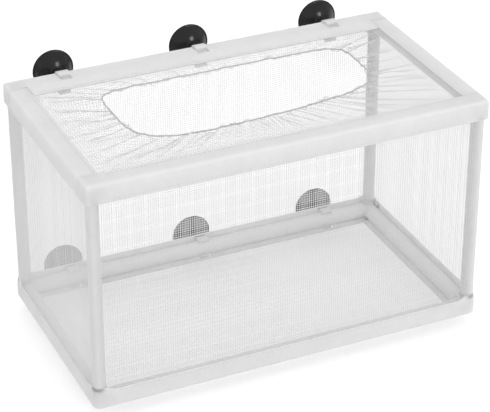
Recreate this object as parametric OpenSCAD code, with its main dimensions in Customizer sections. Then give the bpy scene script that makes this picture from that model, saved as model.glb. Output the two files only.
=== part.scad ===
// Fish breeding box: a net cage on a plug-together rod frame, with an elastic-edged
// opening in its top and six suction cups clipped to its rear rails.
// +X runs along the long side, the rear rails and their cups face +Y, and +Z is up.
// The origin lies under the middle of the whole part, on the surface that it stands on.

/* [Box] */
// Width over the corner pouches
box_w = 260; // [180:1:360]
// Depth over the corner pouches
box_d = 145; // [120:1:220]
// Height over the corner pouches
box_h = 152; // [90:1:220]

/* [Frame] */
// Outer diameter of the frame tubes
rod_d = 6.2; // [5:0.1:7]
// Wall of the frame tubes
rod_wall = 1; // [0.6:0.1:1.4]
// Length of a connector's spigot inside a tube
spigot_l = 11; // [5:0.5:18]
// Extra radius of a connector's collars over the tube
collar_step = 1; // [0.8:0.1:2.4]
// Extra radius of a connector's ball over its collars
knuckle_step = 0.1; // [0.1:0.1:1]
// Radial clearance of a spigot in its tube
spigot_gap = 0.05; // [0.02:0.01:0.1]

/* [Binding tape] */
// Thickness of one layer of tape
tape_t = 0.8; // [0.5:0.1:1]
// Clearance between a tube, collar or elastic and the cloth round it
cloth_gap = 0.1; // [0.05:0.05:0.2]
// Clearance between pieces of cloth that are sewn together
seam_gap = 0.05; // [0.03:0.01:0.1]
// Radius of the outer edges of the rails' tape
rim_edge = 1.8; // [0.6:0.1:3]
// Height of the tape on the walls, from the outermost corner
band_h = 12.5; // [10:0.5:20]
// Width of the tape on the top, from the outermost corner
deck_w = 12; // [11.5:0.5:20]
// Width of the tape under the floor, from the outermost corner
floor_w = 13; // [13:0.5:20]
// Width of the tape behind the top opening, which carries the cups
rear_deck_w = 24; // [14:0.5:26]
// Length over which a bottom pouch narrows to its upright
pouch_taper = 2.5; // [0.5:0.1:4]

/* [Net] */
// Thickness of the net
net_t = 0.4; // [0.3:0.05:0.6]
// Distance between the strands of the flat nets
net_pitch = 10; // [10:0.5:30]
// Width of a strand
strand_w = 0.8; // [0.5:0.1:1.5]
// Width of the plain border of a flat net
hem_w = 2.6; // [2.4:0.1:4]
// How far a net reaches under the tape
sew_w = 0.8; // [0.6:0.1:1.4]
// Clearance between a net's edge and the sleeves and pouches beside it
edge_gap = 0.2; // [0.1:0.1:0.5]

/* [Top opening] */
// Length of the opening
opening_w = 166; // [80:1:190]
// Depth of the opening
opening_d = 71; // [40:1:84]
// Distance of the opening's middle to the right of the box's middle
opening_x = 1.5; // [-8:0.5:8]
// Distance of the opening's middle behind the box's middle
opening_y = 4.2; // [-4:0.1:6]
// How much further forward the opening's left end reaches than its right end
opening_skew = 6.5; // [0:0.5:10]
// Squareness of the opening's rear corners
rear_square = 8; // [2:0.5:9]
// Squareness of the opening's front corners
front_square = 3.2; // [2:0.1:5]
// Depth of the elastic's middle under the rail tape
elastic_drop = 1.6; // [0.8:0.1:6]
// Diameter of the elastic in its hem
elastic_d = 1.8; // [1.2:0.1:3]
// Number of folds round the opening
folds = 24; // [12:4:32]
// Height of a fold at the elastic
fold_h = 2.4; // [0.5:0.1:4]
// Share of that height by which the folds differ
fold_vary = 0.4; // [0:0.1:0.6]

/* [Clips] */
// Distance of the outer cups' middles from the ends of the box
cup_inset = 38; // [30:0.5:60]
// Width of a clip along its rail
clip_w = 7; // [5:0.5:9]
// Wall of a clip's ring
clip_wall = 2.2; // [1.2:0.1:2.4]
// Angle that a clip's ring wraps
clip_wrap = 230; // [200:5:240]
// Radial clearance of a clip on its rail
clip_gap = 0.05; // [0.02:0.01:0.1]
// Space beside a clip in the window of the tape
window_gap = 0.5; // [0.3:0.1:0.6]
// Thickness of a clip's seat for the cup
seat_t = 1; // [0.6:0.1:1.5]
// Step from a clip's side in to its round seat
seat_step = 0.1; // [0.1:0.1:0.8]
// Radius of a clip's pin
pin_r = 1.6; // [1.2:0.1:2]
// Radius of the head of a clip's pin
pin_head_r = 2.4; // [2.1:0.1:2.8]
// Length of a clip's pin inside the cup, up to its head
pin_l = 2.8; // [2.2:0.1:3.4]
// Length of the head of a clip's pin
pin_head_l = 1.4; // [1:0.1:2]

/* [Suction cups] */
// Diameter over a cup's lip
cup_d = 27; // [20:0.5:34]
// Thickness of a cup's lip
lip_t = 0.9; // [0.6:0.1:1.5]
// Step from the lip's edge in to the dome
lip_step = 1.1; // [0.6:0.1:2]
// Height of a cup's dome over its lip
dome_h = 5.6; // [4.8:0.1:8]
// Depth of a cup's hollow
hollow_h = 3.6; // [2.5:0.1:3.8]
// Width of a cup's flat sealing edge
seal_w = 1.2; // [0.8:0.1:2]
// Radius of a cup's knob
knob_r = 4.3; // [3.6:0.1:5]
// Length of a cup's knob
knob_l = 3.4; // [3:0.1:5]
// Radius of the neck between knob and dome
neck_r = 3.5; // [3.2:0.1:4]
// Length of the neck between knob and dome
neck_l = 1.4; // [1:0.1:3]
// Running clearance of a pin in its cup
pin_gap = 0.05; // [0.02:0.01:0.1]
// End clearance between a cup and its clip
end_gap = 0.2; // [0.1:0.05:0.3]

/* [Hidden] */
$fn = 48;
// How far a cutter runs past what it cuts
cut = 1;

// Radii round the middle line of a tube, from inside outwards
rod_r = rod_d / 2;
bore_r = rod_r - rod_wall;
spigot_r = bore_r - spigot_gap;
sleeve_bore = rod_r + cloth_gap;
upright_r = sleeve_bore + tape_t;
collar_r = rod_r + collar_step;
knuckle_r = collar_r + knuckle_step;
pouch_bore = collar_r + cloth_gap;
knuckle_bore = knuckle_r + cloth_gap;

// The tape of the rails and pouches is flush: its outer faces lie at rail_r
rail_r = knuckle_bore + tape_t;

// Places of the tubes' middle lines
lip_drop = max(0, cup_d / 2 - rail_r);
lip_reach = rail_r + clip_gap + clip_wall + seat_t + end_gap + knob_l + neck_l + dome_h + lip_t;
cup_overhang = lip_reach - rail_r;
rail_x = box_w / 2 - rail_r;
rear_y = (box_d - cup_overhang) / 2 - rail_r;
front_y = rear_y - box_d + 2 * rail_r;
low_z = lip_drop + rail_r;
high_z = low_z + box_h - 2 * rail_r;
mid_y = (front_y + rear_y) / 2;

// Reach of the cloth from the rails' middle lines: the pouches, the connectors in them and
// the tape on the walls all end at pouch_l
pouch_l = band_h - rail_r;
deck_l = deck_w - rail_r;
floor_l = floor_w - rail_r;
rear_deck_l = rear_deck_w - rail_r;

// A net lies against the inner face of the tape
tape_in = rail_r - tape_t;
net_out = tape_in - seam_gap;
net_in = net_out - net_t;

// A clip's ring, and how far the tape's window for it reaches from the rail's middle line
ring_bore = rail_r + clip_gap;
ring_r = ring_bore + clip_wall;
seat_r = clip_w / 2 - seat_step;
window_l = sqrt(ring_r * ring_r - tape_in * tape_in) + window_gap;
cup_pitch = box_w / 2 - cup_inset;
cup_x = [-cup_pitch, 0, cup_pitch];

// Lengths along a cup's axis, from the rail's middle line
seat_y = ring_r + seat_t;
knob_y = seat_y + end_gap;
cup_r = cup_d / 2;

// Turning helpers: each takes +Z to the named direction and keeps the +X +Y +Z octant in place
module along_x() { rotate([90, 0, 90]) children(); }
module along_y() { along_x() along_x() children(); }

// A corner frame puts its children's +X, +Y and +Z arms into the box from that corner.
// side is -1 for left and 1 for right, back is -1 for front and 1 for rear, and
// up is -1 for bottom and 1 for top.
module at_corner(side, back, up) {
    translate([side * rail_x, back < 0 ? front_y : rear_y, up < 0 ? low_z : high_z])
        mirror([side > 0 ? 1 : 0, 0, 0])
            mirror([0, back > 0 ? 1 : 0, 0])
                mirror([0, 0, up > 0 ? 1 : 0])
                    children();
}

module three_arms() {
    children();
    along_x() children();
    along_y() children();
}

// Frame tubes and connectors

module tube(length) {
    color("white")
        difference() {
            cylinder(h = length, r = rod_r);
            translate([0, 0, -cut])
                cylinder(h = length + 2 * cut, r = bore_r);
        }
}

module rod_x(y, z) {
    start = rail_x - pouch_l;
    translate([-start, y, z]) along_x() tube(2 * start);
}

module rod_y(side, z) {
    start = front_y + pouch_l;
    translate([side * rail_x, start, z]) along_y() tube(rear_y - pouch_l - start);
}

module rod_z(side, y) {
    start = low_z + pouch_l;
    translate([side * rail_x, y, start]) tube(high_z - pouch_l - start);
}

module spigot() {
    tip = 0.6;
    cylinder(h = pouch_l + spigot_l - tip, r = spigot_r);
    translate([0, 0, pouch_l + spigot_l - tip])
        cylinder(h = tip, r1 = spigot_r, r2 = spigot_r - tip / 2);
}

// A ball with a collar and a spigot for each of three tubes
module connector(side, back, up) {
    color("whitesmoke")
        at_corner(side, back, up) {
            sphere(r = knuckle_r);
            three_arms() cylinder(h = pouch_l - seam_gap, r = collar_r);
            three_arms() spigot();
        }
}

// Sewn binding tape

// Cloth that squares a round channel on its -X and -Y sides
module squared(length) {
    side = rail_r - rim_edge;
    translate([-side, -rail_r, 0]) cube([side, rail_r, length]);
    translate([-rail_r, -side, 0]) cube([rail_r, side, length]);
    translate([-side, -side, 0]) cylinder(h = length, r = rim_edge);
}

// Flaps of a long rail's tape in a corner frame: one lies on the wall and one on the top or
// the floor, where the short rails' channels cut into it
module flaps(length, top_l) {
    translate([0, -rail_r, 0]) cube([length, tape_t, pouch_l]);
    difference() {
        translate([0, 0, -rail_r]) cube([length, top_l, tape_t]);
        for (x = [0, length])
            translate([x, pouch_l, 0]) along_y()
                cylinder(h = rear_y - front_y - 2 * pouch_l, r = rail_r + seam_gap);
    }
}

// Cloth over a top corner, as square as the rails that meet there
module top_pouch() {
    side = rail_r - rim_edge;
    three_arms() {
        cylinder(h = pouch_l, r = rail_r);
        translate([0, 0, -side]) squared(side + pouch_l);
    }
    translate([-side, -side, -side]) sphere(r = rim_edge);
}

// Cloth over a bottom corner, rounded about its upright
module bottom_pouch() {
    side = rail_r - rim_edge;
    along_x() cylinder(h = pouch_l, r = rail_r);
    along_x() squared(pouch_l);
    along_y() cylinder(h = pouch_l, r = rail_r);
    along_y() squared(pouch_l);
    translate([0, 0, -rail_r]) cylinder(h = rail_r, r = side);
    translate([0, 0, -side]) {
        cylinder(h = side + pouch_l - pouch_taper, r = rail_r);
        rotate_extrude() translate([side, 0]) circle(r = rim_edge);
    }
    translate([0, 0, pouch_l - pouch_taper])
        cylinder(h = pouch_taper, r1 = rail_r, r2 = rail_r - tape_t / 2);
}

module pouch_hollow() {
    sphere(r = knuckle_bore);
    three_arms() cylinder(h = pouch_l + seam_gap, r = pouch_bore);
}

// The windows in the tape where the clips grip the rail's round channel
module clip_windows() {
    window_w = clip_w + 2 * window_gap;
    for (x = cup_x)
        translate([rail_x + x - window_w / 2, 0, 0]) {
            translate([0, -rail_r - cut, -cut])
                cube([window_w, tape_t + 2 * cut, window_l + cut]);
            translate([0, -cut, -rail_r - cut])
                cube([window_w, window_l + cut, tape_t + 2 * cut]);
            translate([0, -rail_r - cut, -rail_r - cut])
                cube([window_w, rail_r + cut, rail_r + cut]);
        }
}

module pouch(up) {
    if (up > 0)
        top_pouch();
    else
        bottom_pouch();
}

// A long rail's tape, with the pouches of both its corners
module long_binding(back, up, top_l, windows) {
    length = 2 * rail_x;
    color("gainsboro")
        at_corner(-1, back, up)
            difference() {
                union() {
                    difference() {
                        union() {
                            flaps(length, top_l);
                            along_x() squared(length);
                        }
                        if (windows) clip_windows();
                    }
                    along_x() cylinder(h = length, r = rail_r);
                    pouch(up);
                    translate([length, 0, 0]) mirror([1, 0, 0]) pouch(up);
                }
                translate([pouch_l - cut, 0, 0]) along_x()
                    cylinder(h = length - 2 * (pouch_l - cut), r = sleeve_bore);
                pouch_hollow();
                translate([length, 0, 0]) mirror([1, 0, 0]) pouch_hollow();
            }
}

// A short rail's tape runs between the pouches of the long ones. Its flap is top_l wide and
// ends at the long rails' flaps, which are front_l and rear_l wide.
module short_binding(side, up, top_l, front_l, rear_l) {
    start = front_y + pouch_l + seam_gap;
    finish = rear_y - pouch_l - seam_gap;
    flap_start = front_y + front_l + seam_gap;
    flap_finish = rear_y - rear_l - seam_gap;
    color("gainsboro")
        translate([side * rail_x, 0, up < 0 ? low_z : high_z])
            mirror([side > 0 ? 1 : 0, 0, 0])
                mirror([0, 0, up > 0 ? 1 : 0])
                    difference() {
                        union() {
                            translate([-rail_r, start, 0])
                                cube([tape_t, finish - start, pouch_l]);
                            translate([0, flap_start, -rail_r])
                                cube([top_l, flap_finish - flap_start, tape_t]);
                            translate([0, start, 0]) along_y() {
                                cylinder(h = finish - start, r = rail_r);
                                squared(finish - start);
                            }
                        }
                        translate([0, start - cut, 0]) along_y()
                            cylinder(h = finish - start + 2 * cut, r = sleeve_bore);
                    }
}

module upright_sleeve(side, y) {
    start = low_z + pouch_l + seam_gap;
    length = high_z - pouch_l - seam_gap - start;
    color("gainsboro")
        translate([side * rail_x, y, start])
            difference() {
                cylinder(h = length, r = upright_r);
                translate([0, 0, -cut]) cylinder(h = length + 2 * cut, r = sleeve_bore);
            }
}

// Flat nets

// A net panel in the XY plane from one corner, with whole meshes inside a plain border.
// Its corners are cut away by notch where they meet the corner pouches.
module net_panel(width, height, notch = [0, 0]) {
    across = floor((width - 2 * hem_w + strand_w) / net_pitch);
    along = floor((height - 2 * hem_w + strand_w) / net_pitch);
    mesh_w = (width - 2 * hem_w + strand_w) / across - strand_w;
    mesh_h = (height - 2 * hem_w + strand_w) / along - strand_w;
    color("ghostwhite")
        linear_extrude(height = net_t)
            difference() {
                square([width, height]);
                if (notch.x > 0)
                    for (x = [0, width], y = [0, height])
                        translate([x, y]) square(2 * notch, center = true);
                for (i = [0:across - 1], j = [0:along - 1])
                    translate([hem_w + i * (mesh_w + strand_w), hem_w + j * (mesh_h + strand_w)])
                        square([mesh_w, mesh_h]);
            }
}

// A wall's net stops beside the sleeves and just under the tape of the rails
upright_edge = sqrt(upright_r * upright_r - net_in * net_in) + edge_gap;
wall_x = rail_x - upright_edge;
wall_low = low_z + pouch_l - sew_w;
wall_h = high_z - pouch_l + sew_w - wall_low;
wall_notch = [
    sqrt(rail_r * rail_r - net_in * net_in) + edge_gap - upright_edge,
    sew_w + edge_gap
];
floor_edge = floor_l - sew_w;

module wall_net_x(y) {
    translate([-wall_x, y, wall_low]) rotate([90, 0, 0])
        net_panel(2 * wall_x, wall_h, wall_notch);
}

module wall_net_y(x) {
    start = front_y + upright_edge;
    translate([x, start, wall_low]) along_x()
        net_panel(rear_y - upright_edge - start, wall_h, wall_notch);
}

module floor_net() {
    start = front_y + floor_edge;
    translate([floor_edge - rail_x, start, low_z - net_out])
        net_panel(2 * (rail_x - floor_edge), rear_y - floor_edge - start);
}

// Gathered top net and its elastic

// The opening's edge at an angle, moved outwards by out
function corner_reach(angle, square_n) =
    pow(pow(abs(cos(angle)), square_n) + pow(abs(sin(angle)), square_n), -1 / square_n);
function opening_edge(angle, out) =
    let (
        reach = corner_reach(angle, sin(angle) > 0 ? rear_square : front_square),
        u = reach * cos(angle),
        v = reach * sin(angle),
        lean = v < 0 ? -opening_skew * u * v : 0
    )
    [
        opening_x + (opening_w / 2 + out) * u,
        mid_y + opening_y + (opening_d / 2 + out) * v + lean
    ];

// The edge under the tape, on the same kind of angle, so that its corners are at 45 degrees
top_left_x = -rail_x + deck_l - sew_w;
top_front_y = front_y + deck_l - sew_w;
top_rear_y = rear_y - rear_deck_l + sew_w;
function sewn_edge(angle) =
    let (reach = 1 / max(abs(cos(angle)), abs(sin(angle))))
    [
        -top_left_x * reach * cos(angle),
        (top_front_y + top_rear_y) / 2 + (top_rear_y - top_front_y) / 2 * reach * sin(angle)
    ];

elastic_z = high_z + net_out - elastic_drop;
elastic_sides = 8;

// The net has a strand on each fold's crest and in each trough, and rings of strands across
// them. Each strand has two columns of points, and each ring has two rows.
strands = 2 * folds;
columns = 2 * strands;
rings = 4;
rows = 2 * rings;

// A fold's height from -1 to 1: crests and troughs in turn, and the sine, which keeps no step
// with them, makes some higher than others
function fold(strand) =
    (strand % 2 == 0 ? 1 : -1) * (1 - fold_vary / 2 + fold_vary / 2 * sin(strand * 137));

// A point of the net's middle surface: row 0 lies under the tape and the last at the elastic
function net_point(column, row) =
    let (
        strand = floor(column / 2),
        angle = strand * 360 / strands,
        aside = (column % 2 == 0 ? -1 : 1) * strand_w / 2,
        inner = opening_edge(angle, elastic_d / 2 + cloth_gap),
        outer = sewn_edge(angle),
        length = norm(inner - outer),
        way = (inner - outer) / length,
        ring = floor(row / 2),
        from_ring = ring * (length - strand_w) / (rings - 1),
        run = from_ring + (row % 2 == 0 ? 0 : strand_w),
        share = run / length,
        at = outer + way * run + [way.y, -way.x] * aside,
        top = high_z + net_out - elastic_drop * share
    )
    [at.x, at.y, top - net_t / 2 * (1 - share) + fold(strand) * fold_h / 2 * share * share];

module top_net() {
    upper = [
        for (row = [0:rows - 1], column = [0:columns - 1])
            net_point(column, row) + [0, 0, net_t / 2]
    ];
    lower = [for (p = upper) p - [0, 0, net_t]];
    below = len(upper);
    function at(row, column) = row * columns + (column + columns) % columns;
    function cloth(row, column) =
        row >= 0 && row < rows - 1 && ((column + columns) % 2 == 0 || row % 2 == 0);
    // The wall between two points of the upper skin and the points under them
    function wall(a, b) = [[a, b, below + b], [a, below + b, below + a]];
    faces = [
        for (row = [0:rows - 2], column = [0:columns - 1])
            if (cloth(row, column))
                let (
                    a = at(row, column),
                    b = at(row + 1, column),
                    c = at(row + 1, column + 1),
                    d = at(row, column + 1)
                )
                    each [
                        [a, b, c],
                        [a, c, d],
                        [below + a, below + c, below + b],
                        [below + a, below + d, below + c],
                        each cloth(row - 1, column) ? [] : wall(a, d),
                        each cloth(row + 1, column) ? [] : wall(c, b),
                        each cloth(row, column - 1) ? [] : wall(b, a),
                        each cloth(row, column + 1) ? [] : wall(d, c)
                    ]
    ];
    color("ghostwhite") polyhedron(points = concat(upper, lower), faces = faces);
}

module opening_elastic() {
    steps = 72;
    aside = 0.5;
    function ring_point(k, j) =
        let (
            angle = k * 360 / steps,
            here = opening_edge(angle, 0),
            ahead = opening_edge(angle + aside, 0),
            behind = opening_edge(angle - aside, 0),
            way = (ahead - behind) / norm(ahead - behind),
            turn = j * 360 / elastic_sides,
            side = elastic_d / 2 * cos(turn)
        )
        [here.x + way.y * side, here.y - way.x * side, elastic_z + elastic_d / 2 * sin(turn)];
    function at(k, j) = (k % steps) * elastic_sides + j % elastic_sides;
    color("darkgray")
        polyhedron(
            points = [for (k = [0:steps - 1], j = [0:elastic_sides - 1]) ring_point(k, j)],
            faces = [
                for (k = [0:steps - 1], j = [0:elastic_sides - 1])
                    each [
                        [at(k, j), at(k, j + 1), at(k + 1, j + 1)],
                        [at(k, j), at(k + 1, j + 1), at(k + 1, j)]
                    ]
            ]
        );
}

// Clips and suction cups: both are drawn round the rail's middle line, facing +Y

module on_rail(x, z) {
    translate([x, rear_y, z]) children();
}

// Open part of a clip's ring, as a wedge about -Y
module ring_mouth() {
    reach = 2 * ring_r;
    half = (360 - clip_wrap) / 2;
    linear_extrude(height = clip_w + 2 * cut)
        polygon([[0, 0], [-reach, reach * tan(half)], [-reach, -reach * tan(half)]]);
}

module clip(x, z) {
    color("white")
        on_rail(x, z) {
            difference() {
                union() {
                    translate([-clip_w / 2, 0, 0]) along_x() cylinder(h = clip_w, r = ring_r);
                    along_y() cylinder(h = seat_y, r = seat_r);
                }
                translate([-clip_w / 2 - cut, 0, 0]) along_x()
                    cylinder(h = clip_w + 2 * cut, r = ring_bore);
                translate([-clip_w / 2 - cut, 0, 0]) along_x() ring_mouth();
            }
            translate([0, ring_r, 0]) along_y()
                cylinder(h = seat_t + end_gap + pin_l, r = pin_r);
            translate([0, seat_y + end_gap + pin_l, 0]) along_y()
                cylinder(h = pin_head_l, r1 = pin_head_r, r2 = pin_r);
        }
}

// Radius of a ball whose cap has this radius and height
function cap_ball(r, h) = (r * r + h * h) / (2 * h);

module dome(r, h) {
    ball = cap_ball(r, h);
    intersection() {
        translate([0, 0, h - ball]) sphere(r = ball);
        cylinder(h = h + cut, r = r + cut);
    }
}

// A cup, drawn from its lip at z = 0 up to its knob
module cup_shape() {
    knob_round = 0.6;
    knob_start = lip_t + dome_h + neck_l;
    hollow_ball = cap_ball(cup_r - seal_w, hollow_h);
    difference() {
        union() {
            cylinder(h = lip_t, r = cup_r);
            translate([0, 0, lip_t]) dome(cup_r - lip_step, dome_h);
            cylinder(h = knob_start + cut, r = neck_r);
            translate([0, 0, knob_start]) cylinder(h = knob_l - knob_round, r = knob_r);
            translate([0, 0, knob_start + knob_l - knob_round])
                cylinder(h = knob_round, r1 = knob_r, r2 = knob_r - knob_round);
        }
        translate([0, 0, hollow_h - hollow_ball]) sphere(r = hollow_ball);
    }
}

module cup(x, z) {
    color([0.12, 0.12, 0.13])
        on_rail(x, z)
            difference() {
                translate([0, lip_reach, 0]) rotate([90, 0, 0]) cup_shape();
                translate([0, knob_y - cut, 0]) along_y()
                    cylinder(h = pin_l + cut + pin_gap, r = pin_r + pin_gap);
                translate([0, knob_y + pin_l - pin_gap, 0]) along_y()
                    cylinder(
                        h = pin_head_l + 2 * pin_gap,
                        r1 = pin_head_r + pin_gap,
                        r2 = pin_r + pin_gap
                    );
            }
}

rod_x(front_y, high_z);  // top_front_rod
rod_x(rear_y, high_z);  // top_rear_rod
rod_y(-1, high_z);  // top_left_rod
rod_y(1, high_z);  // top_right_rod
rod_x(front_y, low_z);  // bottom_front_rod
rod_x(rear_y, low_z);  // bottom_rear_rod
rod_y(-1, low_z);  // bottom_left_rod
rod_y(1, low_z);  // bottom_right_rod
rod_z(-1, front_y);  // front_left_rod
rod_z(1, front_y);  // front_right_rod
rod_z(-1, rear_y);  // rear_left_rod
rod_z(1, rear_y);  // rear_right_rod
connector(-1, -1, 1);  // top_front_left_connector
connector(1, -1, 1);  // top_front_right_connector
connector(-1, 1, 1);  // top_rear_left_connector
connector(1, 1, 1);  // top_rear_right_connector
connector(-1, -1, -1);  // bottom_front_left_connector
connector(1, -1, -1);  // bottom_front_right_connector
connector(-1, 1, -1);  // bottom_rear_left_connector
connector(1, 1, -1);  // bottom_rear_right_connector
long_binding(-1, 1, deck_l, false);  // top_front_binding
long_binding(1, 1, rear_deck_l, true);  // top_rear_binding
short_binding(-1, 1, deck_l, deck_l, rear_deck_l);  // top_left_binding
short_binding(1, 1, deck_l, deck_l, rear_deck_l);  // top_right_binding
long_binding(-1, -1, floor_l, false);  // bottom_front_binding
long_binding(1, -1, floor_l, true);  // bottom_rear_binding
short_binding(-1, -1, floor_l, floor_l, floor_l);  // bottom_left_binding
short_binding(1, -1, floor_l, floor_l, floor_l);  // bottom_right_binding
upright_sleeve(-1, front_y);  // front_left_sleeve
upright_sleeve(1, front_y);  // front_right_sleeve
upright_sleeve(-1, rear_y);  // rear_left_sleeve
upright_sleeve(1, rear_y);  // rear_right_sleeve
wall_net_x(front_y - net_in);  // front_net
wall_net_x(rear_y + net_out);  // rear_net
wall_net_y(-rail_x - net_out);  // left_net
wall_net_y(rail_x + net_in);  // right_net
floor_net();
top_net();
opening_elastic();
clip(cup_x[0], high_z);  // upper_left_clip
clip(cup_x[1], high_z);  // upper_middle_clip
clip(cup_x[2], high_z);  // upper_right_clip
clip(cup_x[0], low_z);  // lower_left_clip
clip(cup_x[1], low_z);  // lower_middle_clip
clip(cup_x[2], low_z);  // lower_right_clip
cup(cup_x[0], high_z);  // upper_left_cup
cup(cup_x[1], high_z);  // upper_middle_cup
cup(cup_x[2], high_z);  // upper_right_cup
cup(cup_x[0], low_z);  // lower_left_cup
cup(cup_x[1], low_z);  // lower_middle_cup
cup(cup_x[2], low_z);  // lower_right_cup
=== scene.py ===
import math

import bmesh
import bpy
import numpy as np
from mathutils import Matrix, Vector, noise


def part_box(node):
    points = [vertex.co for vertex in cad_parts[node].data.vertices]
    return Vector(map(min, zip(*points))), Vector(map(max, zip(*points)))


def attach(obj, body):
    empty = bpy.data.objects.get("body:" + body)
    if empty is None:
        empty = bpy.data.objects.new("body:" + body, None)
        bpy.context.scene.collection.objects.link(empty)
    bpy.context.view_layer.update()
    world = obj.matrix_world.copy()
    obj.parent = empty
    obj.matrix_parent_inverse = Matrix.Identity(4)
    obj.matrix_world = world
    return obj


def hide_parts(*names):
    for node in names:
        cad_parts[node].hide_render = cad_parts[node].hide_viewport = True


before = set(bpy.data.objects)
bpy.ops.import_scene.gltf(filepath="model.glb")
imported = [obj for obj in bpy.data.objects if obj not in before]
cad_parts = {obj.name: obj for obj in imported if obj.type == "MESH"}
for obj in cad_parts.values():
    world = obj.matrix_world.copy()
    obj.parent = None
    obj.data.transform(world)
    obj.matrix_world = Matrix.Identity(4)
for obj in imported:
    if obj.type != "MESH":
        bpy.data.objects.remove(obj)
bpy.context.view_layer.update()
mm = 0.001


def middleOf(node):
    low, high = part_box(node)
    return (Vector(low) + Vector(high)) / 2


# the rods' middle lines carry everything else
railX = middleOf("front_right_rod").x
frontY = middleOf("top_front_rod").y
rearY = middleOf("top_rear_rod").y
lowZ = middleOf("bottom_front_rod").z
highZ = middleOf("top_front_rod").z
print("rails at", round(railX, 4), round(frontY, 4), round(rearY, 4), round(lowZ, 4), round(highZ, 4))


# camera and light

view = {
    "target": (0.0006, -0.007375, 0.0801),
    "azimuth": -24.485,  # degrees, to the left of the front
    "elevation": 29.762,
    "distance": 1.253,
    "lens": 146.75,
}


def addCamera():
    data = bpy.data.cameras.new("photoCamera")
    data.sensor_fit = "HORIZONTAL"
    data.sensor_width = 36
    data.lens = view["lens"]
    data.clip_start = 0.05
    camera = bpy.data.objects.new("photoCamera", data)
    bpy.context.collection.objects.link(camera)
    turn, lift = math.radians(view["azimuth"]), math.radians(view["elevation"])
    back = Vector((math.sin(turn) * math.cos(lift), -math.cos(turn) * math.cos(lift), math.sin(lift)))
    camera.location = Vector(view["target"]) + back * view["distance"]
    camera.rotation_euler = (-back).to_track_quat("-Z", "Y").to_euler()
    bpy.context.scene.camera = camera


lamps = {
    "key": {"at": (0.6, -1.3, 0.5), "size": 0.35, "power": 3.5},
    "top": {"at": (0.1, 0.3, 1.4), "size": 0.6, "power": 0.8},
    "left": {"at": (-1.2, -0.3, 0.6), "size": 0.25, "power": 0.8},
    "worldLevel": 1.0,
    "floorColour": (0.86, 0.86, 0.86, 1),
    "floorGlow": 0.38,  # seen by the camera and in reflections only
}


def addLamp(name, at, size, power):
    data = bpy.data.lights.new(name, "AREA")
    data.shape = "SQUARE"
    data.size = size
    data.energy = power
    lamp = bpy.data.objects.new(name, data)
    bpy.context.collection.objects.link(lamp)
    lamp.location = at
    lamp.rotation_euler = (Vector((0, 0, 0.08)) - Vector(at)).to_track_quat("-Z", "Y").to_euler()


def addWorld():
    world = bpy.data.worlds.new("studio")
    world.use_nodes = True
    bpy.context.scene.world = world
    nodes, links = world.node_tree.nodes, world.node_tree.links
    nodes.clear()
    out = nodes.new("ShaderNodeOutputWorld")
    soft = nodes.new("ShaderNodeBackground")
    soft.inputs["Strength"].default_value = lamps["worldLevel"]
    white = nodes.new("ShaderNodeBackground")
    white.inputs["Color"].default_value = (1, 1, 1, 1)
    mix = nodes.new("ShaderNodeMixShader")
    path = nodes.new("ShaderNodeLightPath")
    seen = nodes.new("ShaderNodeMath")
    seen.operation = "MAXIMUM"
    links.new(path.outputs["Is Camera Ray"], seen.inputs[0])
    links.new(path.outputs["Is Transmission Ray"], seen.inputs[1])
    links.new(seen.outputs[0], mix.inputs[0])
    links.new(soft.outputs[0], mix.inputs[1])
    links.new(white.outputs[0], mix.inputs[2])
    links.new(mix.outputs[0], out.inputs["Surface"])


def addFloor():
    bm = bmesh.new()
    bmesh.ops.create_grid(bm, x_segments=1, y_segments=1, size=6)
    mesh = bpy.data.meshes.new("floor")
    bm.to_mesh(mesh)
    floor = bpy.data.objects.new("floor", mesh)
    bpy.context.collection.objects.link(floor)
    floor.location.z = -0.0005
    material = bpy.data.materials.new("paleFloor")
    material.use_nodes = True
    nodes, links = material.node_tree.nodes, material.node_tree.links
    nodes.clear()
    out = nodes.new("ShaderNodeOutputMaterial")
    matt = nodes.new("ShaderNodeBsdfDiffuse")
    matt.inputs["Color"].default_value = lamps["floorColour"]
    glow = nodes.new("ShaderNodeEmission")
    add = nodes.new("ShaderNodeAddShader")
    path = nodes.new("ShaderNodeLightPath")
    seen = nodes.new("ShaderNodeMath")
    seen.operation = "MAXIMUM"
    level = nodes.new("ShaderNodeMath")
    level.operation = "MULTIPLY"
    level.inputs[1].default_value = lamps["floorGlow"]
    links.new(path.outputs["Is Camera Ray"], seen.inputs[0])
    links.new(path.outputs["Is Glossy Ray"], seen.inputs[1])
    links.new(seen.outputs[0], level.inputs[0])
    links.new(level.outputs[0], glow.inputs["Strength"])
    links.new(matt.outputs[0], add.inputs[0])
    links.new(glow.outputs[0], add.inputs[1])
    links.new(add.outputs[0], out.inputs["Surface"])
    mesh.materials.append(material)


addCamera()
for lampName in ("key", "top", "left"):
    addLamp(lampName, **lamps[lampName])
addWorld()
addFloor()
bpy.context.scene.view_settings.view_transform = "Standard"
print("camera, lamps and floor are set")


# materials

def shader(name):
    material = bpy.data.materials.new(name)
    material.use_nodes = True
    return material, material.node_tree.nodes, material.node_tree.links, material.node_tree.nodes["Principled BSDF"]


def objectPlace(nodes, links, scale):
    place = nodes.new("ShaderNodeTexCoord")
    mapping = nodes.new("ShaderNodeMapping")
    mapping.inputs["Scale"].default_value = (scale, scale, scale)
    links.new(place.outputs["Object"], mapping.inputs["Vector"])
    return mapping.outputs["Vector"]


def mixedColour(nodes, links, factor, first, second):
    ramp = nodes.new("ShaderNodeValToRGB")
    ramp.color_ramp.elements[0].color = (*first, 1)
    ramp.color_ramp.elements[1].color = (*second, 1)
    ramp.color_ramp.elements[0].position = 0.25
    ramp.color_ramp.elements[1].position = 0.75
    links.new(factor, ramp.inputs["Fac"])
    return ramp.outputs["Color"]


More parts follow.
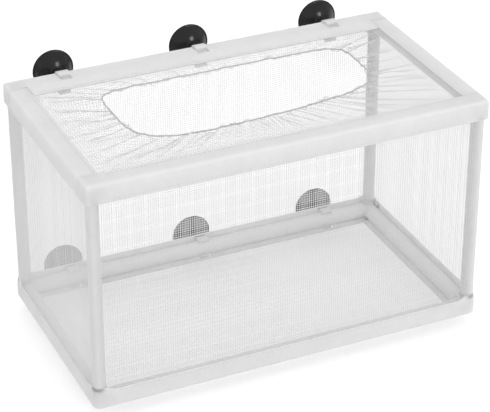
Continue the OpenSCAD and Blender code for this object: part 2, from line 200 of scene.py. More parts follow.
def noiseOf(nodes, links, place, detail, scale=1.0):
    texture = nodes.new("ShaderNodeTexNoise")
    texture.inputs["Scale"].default_value = scale
    texture.inputs["Detail"].default_value = detail
    links.new(place, texture.inputs["Vector"])
    return texture.outputs["Fac"]


def waveOf(nodes, links, place, direction):
    wave = nodes.new("ShaderNodeTexWave")
    wave.bands_direction = direction
    wave.inputs["Scale"].default_value = 1.0
    wave.inputs["Distortion"].default_value = 0.6
    wave.inputs["Detail"].default_value = 1.0
    links.new(place, wave.inputs["Vector"])
    return wave.outputs["Fac"]


def bumpOf(nodes, links, height, strength, distance, onto):
    bump = nodes.new("ShaderNodeBump")
    bump.inputs["Strength"].default_value = strength
    bump.inputs["Distance"].default_value = distance
    links.new(height, bump.inputs["Height"])
    links.new(bump.outputs["Normal"], onto.inputs["Normal"])


def adding(nodes, links, first, second):
    plus = nodes.new("ShaderNodeMath")
    plus.operation = "ADD"
    links.new(first, plus.inputs[0])
    links.new(second, plus.inputs[1])
    return plus.outputs[0]


tapeLook = {"light": (0.88, 0.88, 0.885), "dark": (0.83, 0.83, 0.835), "threads": 560.0, "patches": 60.0}


def tapeCloth():
    material, nodes, links, cloth = shader("tapeCloth")
    patches = noiseOf(nodes, links, objectPlace(nodes, links, tapeLook["patches"]), 3.0)
    links.new(mixedColour(nodes, links, patches, tapeLook["dark"], tapeLook["light"]), cloth.inputs["Base Color"])
    place = objectPlace(nodes, links, tapeLook["threads"])
    # on any flat side of the tape two of the three wave directions cross, as warp and weft do
    weave = adding(nodes, links, waveOf(nodes, links, place, "X"), waveOf(nodes, links, place, "Y"))
    weave = adding(nodes, links, weave, waveOf(nodes, links, place, "Z"))
    bumpOf(nodes, links, weave, 0.35, 0.0001, cloth)
    cloth.inputs["Roughness"].default_value = 0.85
    cloth.inputs["Specular IOR Level"].default_value = 0.2
    # light that falls on one side of the thin cloth comes through to the other
    cloth.inputs["Subsurface Weight"].default_value = 0.6
    cloth.inputs["Subsurface Radius"].default_value = (1, 1, 1)
    cloth.inputs["Subsurface Scale"].default_value = 0.003
    return material


netLook = {
    "light": (0.92, 0.92, 0.925), "dark": (0.86, 0.86, 0.865), "flecks": 900.0,
    # the gathered top net is the same white nylon as the flat nets; its greyer pair of colours is painted shade for
    # its folds and overlapping layers
    "shadedGatheredLight": (0.78, 0.78, 0.785), "shadedGatheredDark": (0.7, 0.7, 0.705),
}


def netNylon(name, light, dark):
    material, nodes, links, nylon = shader(name)
    flecks = noiseOf(nodes, links, objectPlace(nodes, links, netLook["flecks"]), 2.0)
    links.new(mixedColour(nodes, links, flecks, dark, light), nylon.inputs["Base Color"])
    nylon.inputs["Roughness"].default_value = 0.5
    nylon.inputs["Specular IOR Level"].default_value = 0.3
    nylon.inputs["Subsurface Weight"].default_value = 0.8
    nylon.inputs["Subsurface Radius"].default_value = (1, 1, 1)
    nylon.inputs["Subsurface Scale"].default_value = 0.0004
    return material


def elasticBand():
    material, nodes, links, band = shader("elasticBand")
    ribs = waveOf(nodes, links, objectPlace(nodes, links, 420.0), "X")
    links.new(mixedColour(nodes, links, ribs, (0.54, 0.54, 0.545), (0.62, 0.62, 0.625)), band.inputs["Base Color"])
    band.inputs["Roughness"].default_value = 0.8
    return material


def seamThread():
    material, nodes, links, thread = shader("seamThread")
    ply = waveOf(nodes, links, objectPlace(nodes, links, 900.0), "DIAGONAL")
    links.new(mixedColour(nodes, links, ply, (0.66, 0.66, 0.66), (0.8, 0.8, 0.8)), thread.inputs["Base Color"])
    thread.inputs["Roughness"].default_value = 0.7
    return material


def cupRubber():
    material, nodes, links, rubber = shader("cupRubber")
    bloom = noiseOf(nodes, links, objectPlace(nodes, links, 140.0), 4.0)
    links.new(mixedColour(nodes, links, bloom, (0.008, 0.008, 0.009), (0.014, 0.014, 0.015)), rubber.inputs["Base Color"])
    spread = nodes.new("ShaderNodeMapRange")
    spread.inputs["To Min"].default_value = 0.14
    spread.inputs["To Max"].default_value = 0.24
    links.new(bloom, spread.inputs["Value"])
    links.new(spread.outputs["Result"], rubber.inputs["Roughness"])
    rubber.inputs["Specular IOR Level"].default_value = 0.35
    bumpOf(nodes, links, noiseOf(nodes, links, objectPlace(nodes, links, 1400.0), 2.0), 0.08, 0.00005, rubber)
    return material


def plastic(name, light, dark, roughness):
    material, nodes, links, body = shader(name)
    clouds = noiseOf(nodes, links, objectPlace(nodes, links, 90.0), 3.0)
    links.new(mixedColour(nodes, links, clouds, dark, light), body.inputs["Base Color"])
    body.inputs["Roughness"].default_value = roughness
    bumpOf(nodes, links, noiseOf(nodes, links, objectPlace(nodes, links, 1800.0), 2.0), 0.06, 0.00004, body)
    return material


looks = {
    "tape": tapeCloth(),
    "net": netNylon("netNylon", netLook["light"], netLook["dark"]),
    # painted shade: the gathered top net's nylon gets greyer colours than the flat nets
    "gathered": netNylon("gatheredNylonPaintedShade", netLook["shadedGatheredLight"], netLook["shadedGatheredDark"]),
    "elastic": elasticBand(),
    "thread": seamThread(),
    "rubber": cupRubber(),
    "clip": plastic("clipPlastic", (0.82, 0.82, 0.82), (0.76, 0.76, 0.765), 0.3),
    "rod": plastic("rodPlastic", (0.8, 0.8, 0.8), (0.74, 0.74, 0.745), 0.45),
    "plug": plastic("connectorPlastic", (0.78, 0.78, 0.785), (0.72, 0.72, 0.725), 0.5),
}
for nodeName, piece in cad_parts.items():
    if nodeName.endswith("_rod") or nodeName.endswith("_connector"):
        own = looks["rod"] if nodeName.endswith("_rod") else looks["plug"]
        for slotNumber in range(len(piece.material_slots)):
            piece.material_slots[slotNumber].material = own
print("materials are made")


# shared steps

def finished(bm, name, material, body, replaced, smoothBelow=40):
    # puts a bmesh into the scene as a piece that rides on its body
    mesh = bpy.data.meshes.new(name)
    bm.to_mesh(mesh)
    bm.free()
    for face in mesh.polygons:
        face.use_smooth = True
    mesh.set_sharp_from_angle(angle=math.radians(smoothBelow))
    piece = bpy.data.objects.new(name, mesh)
    bpy.context.collection.objects.link(piece)
    for one in material if isinstance(material, list) else [material]:
        mesh.materials.append(one)
    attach(piece, body)
    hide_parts(*replaced)
    return piece


def smoothStep(value, low, high):
    share = min(1.0, max(0.0, (value - low) / (high - low)))
    return share * share * (3 - 2 * share)


def ripple(point, size, seed=0.0):
    # smooth noise from -1 to 1 whose bumps are about size metres wide
    return noise.noise(Vector(point) / size + Vector((seed, seed * 1.7, seed * 0.3)))


# binding tape

tape = {
    "thick": 0.8 * mm,
    "face": 5.1 * mm,  # from a rod's middle line out to the tape's faces
    "edge": 1.8 * mm,  # radius of the rim's outer edges
    "boreRadius": 3.22 * mm,
    "pouchBore": 4.25 * mm,
    "pouchLength": 7.4 * mm,
    "wall": 7.4 * mm,
    "deck": 6.9 * mm,
    "floor": 7.9 * mm,
    "rearDeck": 18.9 * mm,
    "windowWidth": 8.0 * mm,  # the clips reach through windows in the rear tapes
    "windowReach": 6.75 * mm,
    "step": 1.5 * mm,
    "stitchPitch": 3.0 * mm,
    "stitchIn": 1.6 * mm,
    "wrinkle": 0.16 * mm,
    "rearWrinkle": 0.5 * mm,
}


def tapeProfile(deckWidth):
    # closed outline of the folded tape round its rod, from the wall flap's edge: u goes into
    # the box, v away from the box's top or bottom face, with an outward direction at each point
    r, t, wall, edge = tape["face"], tape["thick"], tape["wall"], tape["edge"]
    side = r - edge
    points = []
    for k in range(8):
        points.append((-r, wall + (-side - wall) * k / 8, -1, 0, "wall"))
    for k in range(7):
        a = math.radians(90 * k / 6)
        points.append((-side - edge * math.cos(a), -side - edge * math.sin(a), -math.cos(a), -math.sin(a), "edge"))
    steps = max(6, int((deckWidth + side) / (1.2 * mm)))
    for k in range(1, steps + 1):
        points.append((-side + (deckWidth + side) * k / steps, -r, 0, -1, "deck"))
    meet = math.sqrt(r * r - (r - t) * (r - t))
    for k in range(steps):
        points.append((deckWidth + (meet - deckWidth) * k / steps, t - r, 0, -1, "under"))
    start = math.atan2(t - r, meet)
    finish = math.atan2(meet, t - r)
    for k in range(15):
        a = start + (finish - start) * k / 14
        points.append((r * math.cos(a), r * math.sin(a), math.cos(a), math.sin(a), "channel"))
    for k in range(1, 6):
        points.append((t - r, meet + (wall - meet) * k / 5, -1, 0, "inside"))
    return points


def boreAt(along):
    near = 1 - smoothStep(along, tape["pouchLength"], tape["pouchLength"] + 1 * mm)
    return tape["boreRadius"] + (tape["pouchBore"] - tape["boreRadius"]) * near


def longStations(length, square):
    # places along a long rail's tape, round both its corners; square is how far the straight
    # runs go on past a corner's middle before they turn
    before = [tape["pouchLength"] + (-square - tape["pouchLength"]) * k / 9 for k in range(9)]
    around = [("sideLeft", b) for b in before]
    around += [("arcLeft", math.radians(a)) for a in (90, 75, 60, 45, 30, 15)]
    full = length + 2 * square
    count = int(full / tape["step"])
    around += [("run", full * k / count - square) for k in range(count + 1)]
    around += [("arcRight", math.radians(a)) for a in (15, 30, 45, 60, 75, 90)]
    around += [("sideRight", b) for b in reversed(before)]
    return around


def alongOf(station, length):
    # distance of a station from its corner's middle
    kind, value = station
    if kind == "run":
        return max(0.0, min(value, length - value))
    return max(0.0, value) if kind.startswith("side") else 0.0


def placeLong(station, u, v, y, inwardY, z, inwardZ, sideDeck, square):
    # world point of a profile point on a long rail's tape
    kind, value = station
    length = 2 * railX
    mitre = min(max(u, -square), sideDeck)
    side = -1 if kind.endswith("Left") else 1
    turn = max(0.0, -square - u)  # radius that is left of the turn at this depth
    if kind == "run":
        x = -railX + min(max(value, mitre), length - mitre)
        reach = u
    elif kind.startswith("arc"):
        if turn > 0:
            x = side * (railX + square + turn * math.sin(value))
            reach = -square - turn * math.cos(value)
        else:
            x, reach = side * (railX - mitre), mitre if u < sideDeck else u
    else:
        x = side * (railX - (mitre if u > -square else u))
        reach = max(value, mitre)
    return Vector((x, y + inwardY * reach, z + inwardZ * v))


def tubeGrid(bm, rows, count):
    # a grid bent into a closed tube: rows holds one ring of count points for each station
    grid = bmesh.ops.create_grid(bm, x_segments=count, y_segments=len(rows) - 1, size=1)["verts"]
    for number, vert in enumerate(grid):
        row, column = divmod(number, count + 1)
        vert.co = rows[row][column % count]
    return grid


def closeEnds(bm):
    # joins the tape's skin to its bore at both open ends
    loops = []
    left = dict.fromkeys(e for e in bm.edges if e.is_boundary)  # keeps its order, unlike a set
    while left:
        edge = left.popitem()[0]
        loop, todo = [edge], [edge]
        while todo:
            here = todo.pop()
            for vert in here.verts:
                for other in vert.link_edges:
                    if other in left:
                        del left[other]
                        loop.append(other)
                        todo.append(other)
        loops.append(loop)

    def centre(loop):
        return sum((e.verts[0].co for e in loop), Vector()) / len(loop)

    while len(loops) > 1:
        first = loops.pop()
        second = min(loops, key=lambda loop: (centre(loop) - centre(first)).length)
        loops.remove(second)
        bmesh.ops.bridge_loops(bm, edges=first + second)


def addStitch(bm, at, along, out):
    # one short sunk stitch of thread
    side = along.cross(out).normalized()
    frameOf = Matrix((along, side, out)).transposed().to_4x4()
    frameOf.translation = at
    size = Matrix.Diagonal((1.0 * mm, 0.22 * mm, 0.16 * mm, 1))
    made = bmesh.ops.create_icosphere(bm, subdivisions=1, radius=1, matrix=frameOf @ size)
    for vert in made["verts"]:
        for face in vert.link_faces:
            face.material_index = 1


def tapeWrinkle(point, kind, deckWidth, u):
    # how far the cloth stands out at a place: small puckers, and soft wrinkles on the wide tape
    small = tape["wrinkle"] * (ripple(point, 7 * mm) + 0.5 * ripple(point, 2.6 * mm, 3.0))
    if kind in ("deck", "under") and deckWidth > 10 * mm:
        loose = smoothStep(u, 0.5 * mm, 5 * mm) * (1 - 0.5 * smoothStep(u, 12 * mm, 16 * mm))
        stretched = Vector((point[0] * 0.55, point[1] * 1.3, 0))
        near = 0.0
        for x in cupPlaces:
            near = max(near, math.exp(-((point[0] - x) / (17 * mm)) ** 2))
        big = ripple(stretched, 9 * mm, 7.0) + 0.6 * ripple(stretched, 4 * mm, 1.0)
        return small + tape["rearWrinkle"] * loose * (0.45 + 0.9 * near) * big
    if kind in ("channel", "inside"):
        return 0.5 * small
    return small


cupPlaces = [middleOf(f"upper_{side}_clip").x for side in ("left", "middle", "right")]


def cutWindows(piece, y, inwardY, z, inwardZ):
    # opens the tape where the clips grip the rail's round channel, which stays
    bm = bmesh.new()
    r, reach, past = tape["face"], tape["windowReach"], tape["face"] + 1 * mm
    inner = r - tape["thick"] - 0.7 * mm  # also clears the wrinkles
    turn = math.acos(inner / (r - 0.05 * mm))
    outline = [(-past, reach), (-past, -past), (reach, -past), (reach, -inner)]
    for k in range(13):
        a = math.radians(270) + turn - (math.radians(90) + 2 * turn) * k / 12
        outline.append(((r - 0.05 * mm) * math.cos(a), (r - 0.05 * mm) * math.sin(a)))
    outline.append((-inner, reach))
    for x in cupPlaces:
        left = x - tape["windowWidth"] / 2
        corners = [bm.verts.new((left, y + inwardY * u, z + inwardZ * v)) for u, v in outline]
        face = bm.faces.new(corners)
        made = bmesh.ops.extrude_face_region(bm, geom=[face])["geom"]
        bmesh.ops.translate(bm, verts=[v for v in made if isinstance(v, bmesh.types.BMVert)],
                            vec=(tape["windowWidth"], 0, 0))
    bmesh.ops.recalc_face_normals(bm, faces=bm.faces)
    mesh = bpy.data.meshes.new("windowCutter")
    bm.to_mesh(mesh)
    bm.free()
    cutter = bpy.data.objects.new("windowCutter", mesh)
    bpy.context.collection.objects.link(cutter)
    cut = piece.modifiers.new("windows", "BOOLEAN")
    cut.operation = "DIFFERENCE"
    cut.solver = "EXACT"
    cut.object = cutter
    bpy.context.view_layer.update()
    opened = bpy.data.meshes.new_from_object(piece.evaluated_get(bpy.context.evaluated_depsgraph_get()))
    piece.modifiers.clear()
    bpy.data.objects.remove(cutter)
    return opened


def longTape(name, y, inwardY, z, inwardZ, deckWidth, replaced):
    length = 2 * railX
    upper = inwardZ < 0
    square = tape["face"] - tape["edge"] if upper else 0.0
    sideDeck = tape["deck"] if upper else tape["floor"]
    outline = tapeProfile(deckWidth)
    stations = longStations(length, square)
    bm = bmesh.new()

    def put(station, u, v):
        return placeLong(station, u, v, y, inwardY, z, inwardZ, sideDeck, square)

    def skinPoint(station, item):
        u, v, outU, outV, kind = item
        along = alongOf(station, length)
        out = 0.0
        corner = 1 - smoothStep(along, 2 * mm, 9 * mm)
        if kind in ("wall", "inside") and v > 3 * mm and not upper:
            # a bottom pouch draws in to its upright
            depth = (v - 3 * mm) / (tape["wall"] - 3 * mm)
            out -= corner * 0.9 * mm * depth ** 2
            v += corner * 1.6 * mm * depth
        out += tapeWrinkle(put(station, u, v), kind, deckWidth, u)
        return put(station, u + outU * out, v + outV * out)

    tubeGrid(bm, [[skinPoint(station, item) for item in outline] for station in stations], len(outline))
    bores = []
    for station in stations:
        radius = boreAt(alongOf(station, length))
        bores.append([put(station, radius * math.cos(a), radius * math.sin(a))
                      for a in [math.radians(360 * k / 20) for k in range(20)]])
    tubeGrid(bm, bores, 20)
    bmesh.ops.remove_doubles(bm, verts=bm.verts, dist=0.002 * mm)
    closeEnds(bm)
    bmesh.ops.dissolve_degenerate(bm, edges=bm.edges, dist=0.001 * mm)
    bmesh.ops.recalc_face_normals(bm, faces=bm.faces)
    if inwardY < 0:
        whole = bpy.data.meshes.new("wholeTape")
        bm.to_mesh(whole)
        bm.free()
        uncut = bpy.data.objects.new("wholeTape", whole)
        bpy.context.collection.objects.link(uncut)
        opened = cutWindows(uncut, y, inwardY, z, inwardZ)
        bpy.data.objects.remove(uncut)
        bm = bmesh.new()
        bm.from_mesh(opened)
        bpy.data.meshes.remove(opened)
    for side in (-1, 1):
        addCuff(bm, side * railX, y, z, inwardZ)

    # two rows of stitches hold the flaps to the nets
    wallItem = (-tape["face"], tape["wall"] - tape["stitchIn"], -1, 0, "wall")
    deckItem = (deckWidth - tape["stitchIn"], -tape["face"], 0, -1, "deck")
    count = int((length - 24 * mm) / tape["stitchPitch"])
    for k in range(count + 1):
        along = 12 * mm + k * tape["stitchPitch"]
        station = ("run", along)
        atClip = inwardY < 0 and any(abs(along - railX - x) < tape["windowWidth"] / 2 + 0.8 * mm for x in cupPlaces)
        if not atClip:
            addStitch(bm, skinPoint(station, wallItem), Vector((1, 0, 0)), Vector((0, -inwardY, 0)))
        if not atClip or deckItem[0] > tape["windowReach"] + 1 * mm:
            addStitch(bm, skinPoint(station, deckItem), Vector((1, 0, 0)), Vector((0, 0, -inwardZ)))
    piece = finished(bm, name, [looks["tape"], looks["thread"]], "box", replaced)
    return piece


cuff = {
    # radius round the upright and height from the rail's middle line, in millimetres
    "top": [(4.9, 6.2), (4.9, 6.8), (4.75, 7.25), (4.4, 7.7), (4.1, 7.95), (4.05, 7.75), (4.2, 7.3),
            (4.28, 7.2), (4.28, 6.2)],
    "bottom": [(4.42, 6.6), (4.46, 7.0), (4.42, 7.8), (4.25, 8.5), (4.08, 8.9), (4.05, 8.6), (4.2, 7.6),
               (4.28, 7.4), (4.28, 6.6)],
}


def addCuff(bm, x, y, z, inwardZ):
    # the pouch's cloth round the upright, closed in to its sleeve
    shape = cuff["top"] if inwardZ < 0 else cuff["bottom"]
    verts = [bm.verts.new((x + r * mm, y, z + inwardZ * v * mm)) for r, v in shape]
    edges = [bm.edges.new((verts[k], verts[(k + 1) % len(verts)])) for k in range(len(verts))]
    made = bmesh.ops.spin(bm, geom=verts + edges, cent=(x, y, 0), axis=(0, 0, 1), angle=math.tau,
                          steps=32, use_merge=True)
    ring = [g for g in made["geom_last"] if isinstance(g, bmesh.types.BMVert)] + verts
    loose = set(ring)
    todo = list(ring)
    while todo:
        for edge in todo.pop().link_edges:
            for vert in edge.verts:
                if vert not in loose:
                    loose.add(vert)
                    todo.append(vert)
    bmesh.ops.remove_doubles(bm, verts=list(loose), dist=0.001 * mm)
    cuffFaces = {f for v in loose if v.is_valid for f in v.link_faces}
    bmesh.ops.recalc_face_normals(bm, faces=list(cuffFaces))


def shortTape(name, side, z, inwardZ, deckWidth, replaced):
    start = frontY + tape["pouchLength"] - 0.1 * mm
    finish = rearY - tape["pouchLength"] + 0.1 * mm
    outline = tapeProfile(deckWidth)
    count = int((finish - start) / tape["step"])
    bm = bmesh.new()

    def place(station, u, v):
        return Vector((side * (railX - u), station, z + inwardZ * v))

    def skinPoint(station, item):
        u, v, outU, outV, kind = item
        along = min(station - frontY, rearY - station)
        out = -0.08 * mm * (1 - smoothStep(along, 7.2 * mm, 8.5 * mm))
        out += tapeWrinkle(place(station, u, v), kind, deckWidth, u)
        return place(station, u + outU * out, v + outV * out)

    stations = [start + (finish - start) * k / count for k in range(count + 1)]
    tubeGrid(bm, [[skinPoint(s, item) for item in outline] for s in stations], len(outline))
    bores = []
    for s in stations:
        radius = tape["boreRadius"]
        bores.append([place(s, radius * math.cos(a), radius * math.sin(a))
                      for a in [math.radians(360 * k / 20) for k in range(20)]])
    tubeGrid(bm, bores, 20)
    bmesh.ops.remove_doubles(bm, verts=bm.verts, dist=0.002 * mm)
    closeEnds(bm)
    bmesh.ops.recalc_face_normals(bm, faces=bm.faces)
    wallItem = (-tape["face"], tape["wall"] - tape["stitchIn"], -1, 0, "wall")
    deckItem = (deckWidth - tape["stitchIn"], -tape["face"], 0, -1, "deck")
    for k in range(int((finish - start - 4 * mm) / tape["stitchPitch"]) + 1):
        s = start + 2 * mm + k * tape["stitchPitch"]
        addStitch(bm, skinPoint(s, wallItem), Vector((0, 1, 0)), Vector((side, 0, 0)))
        addStitch(bm, skinPoint(s, deckItem), Vector((0, 1, 0)), Vector((0, 0, -inwardZ)))
    piece = finished(bm, name, [looks["tape"], looks["thread"]], "box", replaced)
    return piece


def uprightSleeve(name, side, y, replaced):
    # a strip of tape rolled round the rod, with its seam down the outer corner
    start = lowZ + tape["pouchLength"] + 0.05 * mm
    finish = highZ - tape["pouchLength"] - 0.05 * mm
    count, around = int((finish - start) / (2 * mm)), 28
    back = 1 if y > 0 else -1
    bm = bmesh.new()
    rows, bores = [], []
    for k in range(count + 1):
        height = start + (finish - start) * k / count
        row, bore = [], []
        for j in range(around):
            a = math.tau * j / around
            way = Vector((math.cos(a), math.sin(a), 0))
            at = Vector((side * railX, y, height))
            seam = max(0.0, way.dot(Vector((side * 0.5, back * 0.866, 0)))) ** 24
            radius = 4.0 * mm + tape["wrinkle"] * 0.7 * ripple(at + way * 4 * mm, 6 * mm) + 0.25 * mm * seam
            row.append(at + way * radius)
            bore.append(at + way * tape["boreRadius"])
        rows.append(row)
        bores.append(bore)
    tubeGrid(bm, rows, around)
    tubeGrid(bm, bores, around)
    bmesh.ops.remove_doubles(bm, verts=bm.verts, dist=0.002 * mm)
    closeEnds(bm)
    bmesh.ops.recalc_face_normals(bm, faces=bm.faces)
    piece = finished(bm, name, looks["tape"], "box", replaced)
    return piece


longTape("topFrontTape", frontY, 1, highZ, -1, tape["deck"], ["top_front_binding"])
longTape("topRearTape", rearY, -1, highZ, -1, tape["rearDeck"], ["top_rear_binding"])
longTape("bottomFrontTape", frontY, 1, lowZ, 1, tape["floor"], ["bottom_front_binding"])
longTape("bottomRearTape", rearY, -1, lowZ, 1, tape["floor"], ["bottom_rear_binding"])
shortTape("topLeftTape", -1, highZ, -1, tape["deck"], ["top_left_binding"])
shortTape("topRightTape", 1, highZ, -1, tape["deck"], ["top_right_binding"])
shortTape("bottomLeftTape", -1, lowZ, 1, tape["floor"], ["bottom_left_binding"])
shortTape("bottomRightTape", 1, lowZ, 1, tape["floor"], ["bottom_right_binding"])
uprightSleeve("frontLeftUprightTape", -1, frontY, ["front_left_sleeve"])
uprightSleeve("frontRightUprightTape", 1, frontY, ["front_right_sleeve"])
uprightSleeve("rearLeftUprightTape", -1, rearY, ["rear_left_sleeve"])
uprightSleeve("rearRightUprightTape", 1, rearY, ["rear_right_sleeve"])
print("binding tape is sewn")


# flat nets

net = {"pitch": 1.5 * mm, "thread": 0.24 * mm, "notchWidth": 2.4 * mm, "notchHeight": 1.2 * mm, "sides": 5}


def addThread(bm, start, finish):
    way = finish - start
    turn = way.to_track_quat("Z", "Y").to_matrix().to_4x4()
    turn.translation = (start + finish) / 2
    bmesh.ops.create_cone(bm, cap_ends=True, segments=net["sides"], radius1=net["thread"] / 2,
                          radius2=net["thread"] / 2, depth=way.length, matrix=turn)


def flatNet(name, node, thin, notched):
    # straight threads both ways over the node's box, whose thin side is axis number thin
    low, high = (Vector(v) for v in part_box(node))
    first, second = [axis for axis in range(3) if axis != thin]
    bm = bmesh.new()
    for across, along in ((first, second), (second, first)):
        width = high[across] - low[across]
        count = round(width / net["pitch"])
        inset = net["notchWidth"] if across != 2 else net["notchHeight"]
        shorten = net["notchHeight"] if along == 2 else net["notchWidth"]
        for k in range(count + 1):
            offset = width * k / count
            start, finish = Vector(low), Vector(high)
            start[across] = finish[across] = low[across] + offset
            middle = (low[thin] + high[thin]) / 2 + (0.25 if across == first else -0.25) * net["thread"]
            start[thin] = finish[thin] = middle
            if notched and min(offset, width - offset) < inset:
                start[along] += shorten
                finish[along] -= shorten
            addThread(bm, start, finish)
    piece = finished(bm, name, looks["net"], "box", [node], smoothBelow=80)
    return piece


flatNet("frontMesh", "front_net", 1, True)
flatNet("rearMesh", "rear_net", 1, True)
flatNet("leftMesh", "left_net", 0, True)
flatNet("rightMesh", "right_net", 0, True)
flatNet("floorMesh", "floor_net", 2, False)
print("flat nets are woven")


# gathered top net and its elastic

opening = {
    "width": 166 * mm,
    "depth": 71 * mm,
    "x": 1.5 * mm,
    "y": (frontY + rearY) / 2 + 4.2 * mm,
    "skew": 6.5 * mm,
    "rearSquare": 8.0,
    "frontSquare": 3.2,
    "elasticRadius": 0.5 * mm,
    "drop": 1.6 * mm,
    "cut": 1.12,  # the cloth's own hole is wider than the opening, and the elastic gathers it
    "pitch": 1.5 * mm,
    "thread": 0.58 * mm,
    "foldFine": 3.0,
    "foldEnds": 1.8,  # added to the fine folds at the opening's two ends
    "foldBroad": 2.8,
    "foldCrumple": 1.4,
    "bunch": 0.024,  # radians by which the folds draw the threads together
}
sewn = {
    "left": -railX + tape["deck"] - 0.8 * mm,
    "right": railX - tape["deck"] + 0.8 * mm,
    "front": frontY + tape["deck"] - 0.8 * mm,
    "rear": rearY - tape["rearDeck"] + 0.8 * mm,
    "z": highZ + 4.25 * mm,
}


def openingEdge(angle):
    # point on the elastic's line at an angle of its rounded outline
    c, s = math.cos(angle), math.sin(angle)
    n = opening["rearSquare"] if s > 0 else opening["frontSquare"]
    reach = (abs(c) ** n + abs(s) ** n) ** (-1 / n)
    u, v = reach * c, reach * s
    lean = -opening["skew"] * u * v if v < 0 else 0
    return opening["x"] + opening["width"] / 2 * u, opening["y"] + opening["depth"] / 2 * v + lean


edgeTable = np.array([openingEdge(math.tau * k / 1440) for k in range(1440)])
edgeWay = np.unwrap(np.arctan2(edgeTable[:, 1] - opening["y"], edgeTable[:, 0] - opening["x"]))
edgeReach = np.hypot(edgeTable[:, 1] - opening["y"], edgeTable[:, 0] - opening["x"])


def openingReach(way):
    # distance of the elastic from the opening's middle in a direction
    start = edgeWay[0]
    return float(np.interp((way - start) % math.tau + start, edgeWay, edgeReach, period=math.tau))


def sewnReach(way):
    c, s = math.cos(way), math.sin(way)
    across = ((sewn["right"] if c > 0 else sewn["left"]) - opening["x"]) / c if abs(c) > 1e-9 else 9
    along = ((sewn["rear"] if s > 0 else sewn["front"]) - opening["y"]) / s if abs(s) > 1e-9 else 9
    return min(across, along)


def foldHeight(way, share):
    # height of the gathers, which start at the elastic and fade out towards the tape
    reach = openingReach(way)
    ring = Vector((math.cos(way), math.sin(way), 0)) * 0.5
    fine = noise.noise(Vector((ring.x * 46, ring.y * 46, share * 0.8)))
    broad = noise.noise(Vector((ring.x * 17 + 5, ring.y * 17, share * 1.3)))
    crumple = noise.noise(Vector((math.cos(way) * reach * 60, math.sin(way) * reach * 60, 3 + share * 2.5)))
    ends = abs(math.cos(way)) ** 3
    near = share ** 1.3
    fine *= opening["foldFine"] + opening["foldEnds"] * ends
    return mm * near * (fine + opening["foldBroad"] * broad + opening["foldCrumple"] * crumple)


def gatheredNet():
    width, depth = sewn["right"] - sewn["left"], sewn["rear"] - sewn["front"]
    columns, lines = round(width / opening["pitch"]), round(depth / opening["pitch"])
    bm = bmesh.new()
    verts = bmesh.ops.create_grid(bm, x_segments=columns, y_segments=lines, size=1)["verts"]
    for number, vert in enumerate(verts):
        line, column = divmod(number, columns + 1)
        vert.co = (sewn["left"] + width * column / columns, sewn["front"] + depth * line / lines, 0)
    gone = []
    shares = {}
    for vert in bm.verts:
        dx, dy = vert.co.x - opening["x"], vert.co.y - opening["y"]
        way, reach = math.atan2(dy, dx), math.hypot(dx, dy)
        hole, rim = openingReach(way), sewnReach(way)
        share = (rim - reach) / (rim - hole * opening["cut"])
        shares[vert] = (way, share, hole, rim)
    for face in bm.faces:
        if min(shares[v][1] for v in face.verts) > 1.0:
            gone.append(face)
    bmesh.ops.delete(bm, geom=gone, context="FACES")
    for vert in bm.verts:
        way, share, hole, rim = shares[vert]
        share = min(1.0, max(0.0, share))
        way += opening["bunch"] * share * noise.noise(Vector((math.cos(way) * 25 + 9, math.sin(way) * 25, share)))
        hole, rim = openingReach(way), sewnReach(way)
        reach = rim - share * (rim - hole)
        lift = foldHeight(way, share)
        vert.co = (
            opening["x"] + math.cos(way) * reach,
            opening["y"] + math.sin(way) * reach,
            sewn["z"] - opening["drop"] * share - 0.1 * mm + lift,
        )
    bmesh.ops.recalc_face_normals(bm, faces=bm.faces)
    bmesh.ops.wireframe(bm, faces=bm.faces, thickness=opening["thread"] / 2, offset=0.0, use_replace=True,
                        use_boundary=True, use_even_offset=True)
    piece = finished(bm, "topMesh", looks["gathered"], "box", ["top_net"], smoothBelow=80)
    print("top net has", len(piece.data.polygons), "faces")
    return piece, (width, depth)


def elasticCord():
    curve = bpy.data.curves.new("openingElasticCord", "CURVE")
    curve.dimensions = "3D"
    spline = curve.splines.new("POLY")
    count = 360
    spline.points.add(count - 1)
    for k in range(count):
        x, y = openingEdge(math.tau * k / count)
        way = math.atan2(y - opening["y"], x - opening["x"])
        z = sewn["z"] - opening["drop"] + 0.12 * foldHeight(way, 1.0)
        spline.points[k].co = (x, y, z, 1)
        spline.points[k].radius = 1 + 0.25 * ripple((x, y, 0), 3 * mm)
    spline.use_cyclic_u = True
    curve.bevel_depth = opening["elasticRadius"]
    curve.bevel_resolution = 3
    holder = bpy.data.objects.new("elasticHolder", curve)
    bpy.context.collection.objects.link(holder)
    bm = bmesh.new()
    bm.from_mesh(holder.to_mesh())
    bpy.data.objects.remove(holder)
    bmesh.ops.recalc_face_normals(bm, faces=bm.faces)
    return finished(bm, "openingElasticCord", looks["elastic"], "box", ["opening_elastic"])


topMesh, topFlat = gatheredNet()
elasticPiece = elasticCord()
print("top net is gathered")


# suction cups

cup = {
    "hollow": 3.6, "hollowRadius": 12.3, "lip": 0.9, "domeRadius": 12.4, "dome": 5.6,
    "neck": 1.4, "knob": 3.4, "steps": 64,
}


def capArc(radius, height, inner, count, base):
    # points of a ball's cap in millimetres, from its rim in to the radius inner
    ball = (radius ** 2 + height ** 2) / (2 * height)
    out = []
    for k in range(count + 1):
        r = radius + (inner - radius) * (k / count)
        out.append((r, base + height - ball + math.sqrt(ball ** 2 - r ** 2)))
    return out


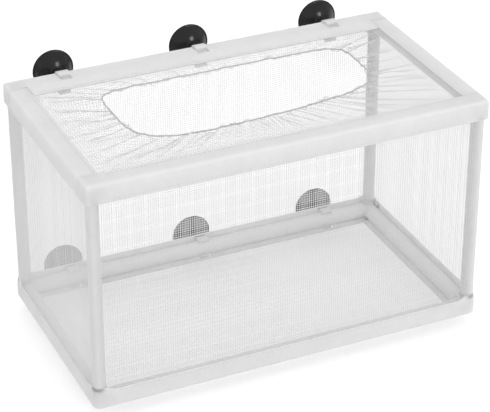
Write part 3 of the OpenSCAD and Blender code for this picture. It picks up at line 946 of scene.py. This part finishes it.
def cupOutline():
    # half section of a cup: radius, and height over its lip
    knobStart = cup["lip"] + cup["dome"] + cup["neck"]
    top = knobStart + cup["knob"]
    hollow = capArc(cup["hollowRadius"], cup["hollow"], 0.0, 14, 0.0)
    shape = list(reversed(hollow))
    shape += [(13.2, 0.0), (13.42, 0.1), (13.5, 0.3), (13.5, 0.55), (13.4, 0.78), (13.15, 0.9)]
    shape += [(12.75, 0.92), (12.5, 1.0)]
    shape += capArc(cup["domeRadius"], cup["dome"], 4.6, 14, cup["lip"])[1:]
    shape += [(4.0, 6.22), (3.65, 6.4), (3.5, 6.7), (3.5, 7.4), (3.6, 7.7), (3.85, 7.86)]
    shape += [(4.1, knobStart), (4.25, knobStart + 0.1), (4.3, knobStart + 0.3), (4.3, top - 0.55)]
    shape += [(4.2, top - 0.25), (3.95, top - 0.07), (3.6, top), (1.85, top), (1.65, top - 0.15)]
    shape += [(1.65, top - 2.75), (2.45, top - 2.78), (1.65, top - 4.25), (0.0, top - 4.25)]
    return shape


def suctionCup(name, node, body):
    low, high = (Vector(v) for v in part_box(node))
    middle = (low + high) / 2
    bm = bmesh.new()
    verts = [bm.verts.new((middle.x + r * mm, high.y - h * mm, middle.z)) for r, h in cupOutline()]
    edges = [bm.edges.new((verts[k], verts[k + 1])) for k in range(len(verts) - 1)]
    bmesh.ops.spin(bm, geom=verts + edges, cent=(middle.x, 0, middle.z), axis=(0, 1, 0), angle=math.tau,
                   steps=cup["steps"], use_merge=True)
    bmesh.ops.remove_doubles(bm, verts=bm.verts, dist=0.001 * mm)
    bmesh.ops.recalc_face_normals(bm, faces=bm.faces)
    return finished(bm, name, looks["rubber"], body, [node], smoothBelow=50)


# clips

def mouldedClip(name, node, body):
    # the clip's own solid with the small rounded edges of a moulding
    bm = bmesh.new()
    bm.from_mesh(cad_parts[node].data)
    bmesh.ops.remove_doubles(bm, verts=bm.verts, dist=0.005 * mm)
    bmesh.ops.dissolve_limit(bm, angle_limit=math.radians(1), verts=bm.verts, edges=bm.edges)
    sharp = [e for e in bm.edges if len(e.link_faces) == 2 and e.calc_face_angle() > math.radians(50)]
    bmesh.ops.bevel(bm, geom=sharp, offset=0.22 * mm, offset_type="OFFSET", segments=2, profile=0.5,
                    affect="EDGES", clamp_overlap=True, material=-1)
    return finished(bm, name, looks["clip"], body, [node], smoothBelow=35)


for row in ("upper", "lower"):
    for place in ("left", "middle", "right"):
        label = row + place.capitalize()
        suctionCup(label + "SuctionCup", f"{row}_{place}_cup", f"{row}_{place}_cup_body")
        mouldedClip(label + "RailClip", f"{row}_{place}_clip", f"{row}_{place}_clip_body")
print("cups and clips are in place")
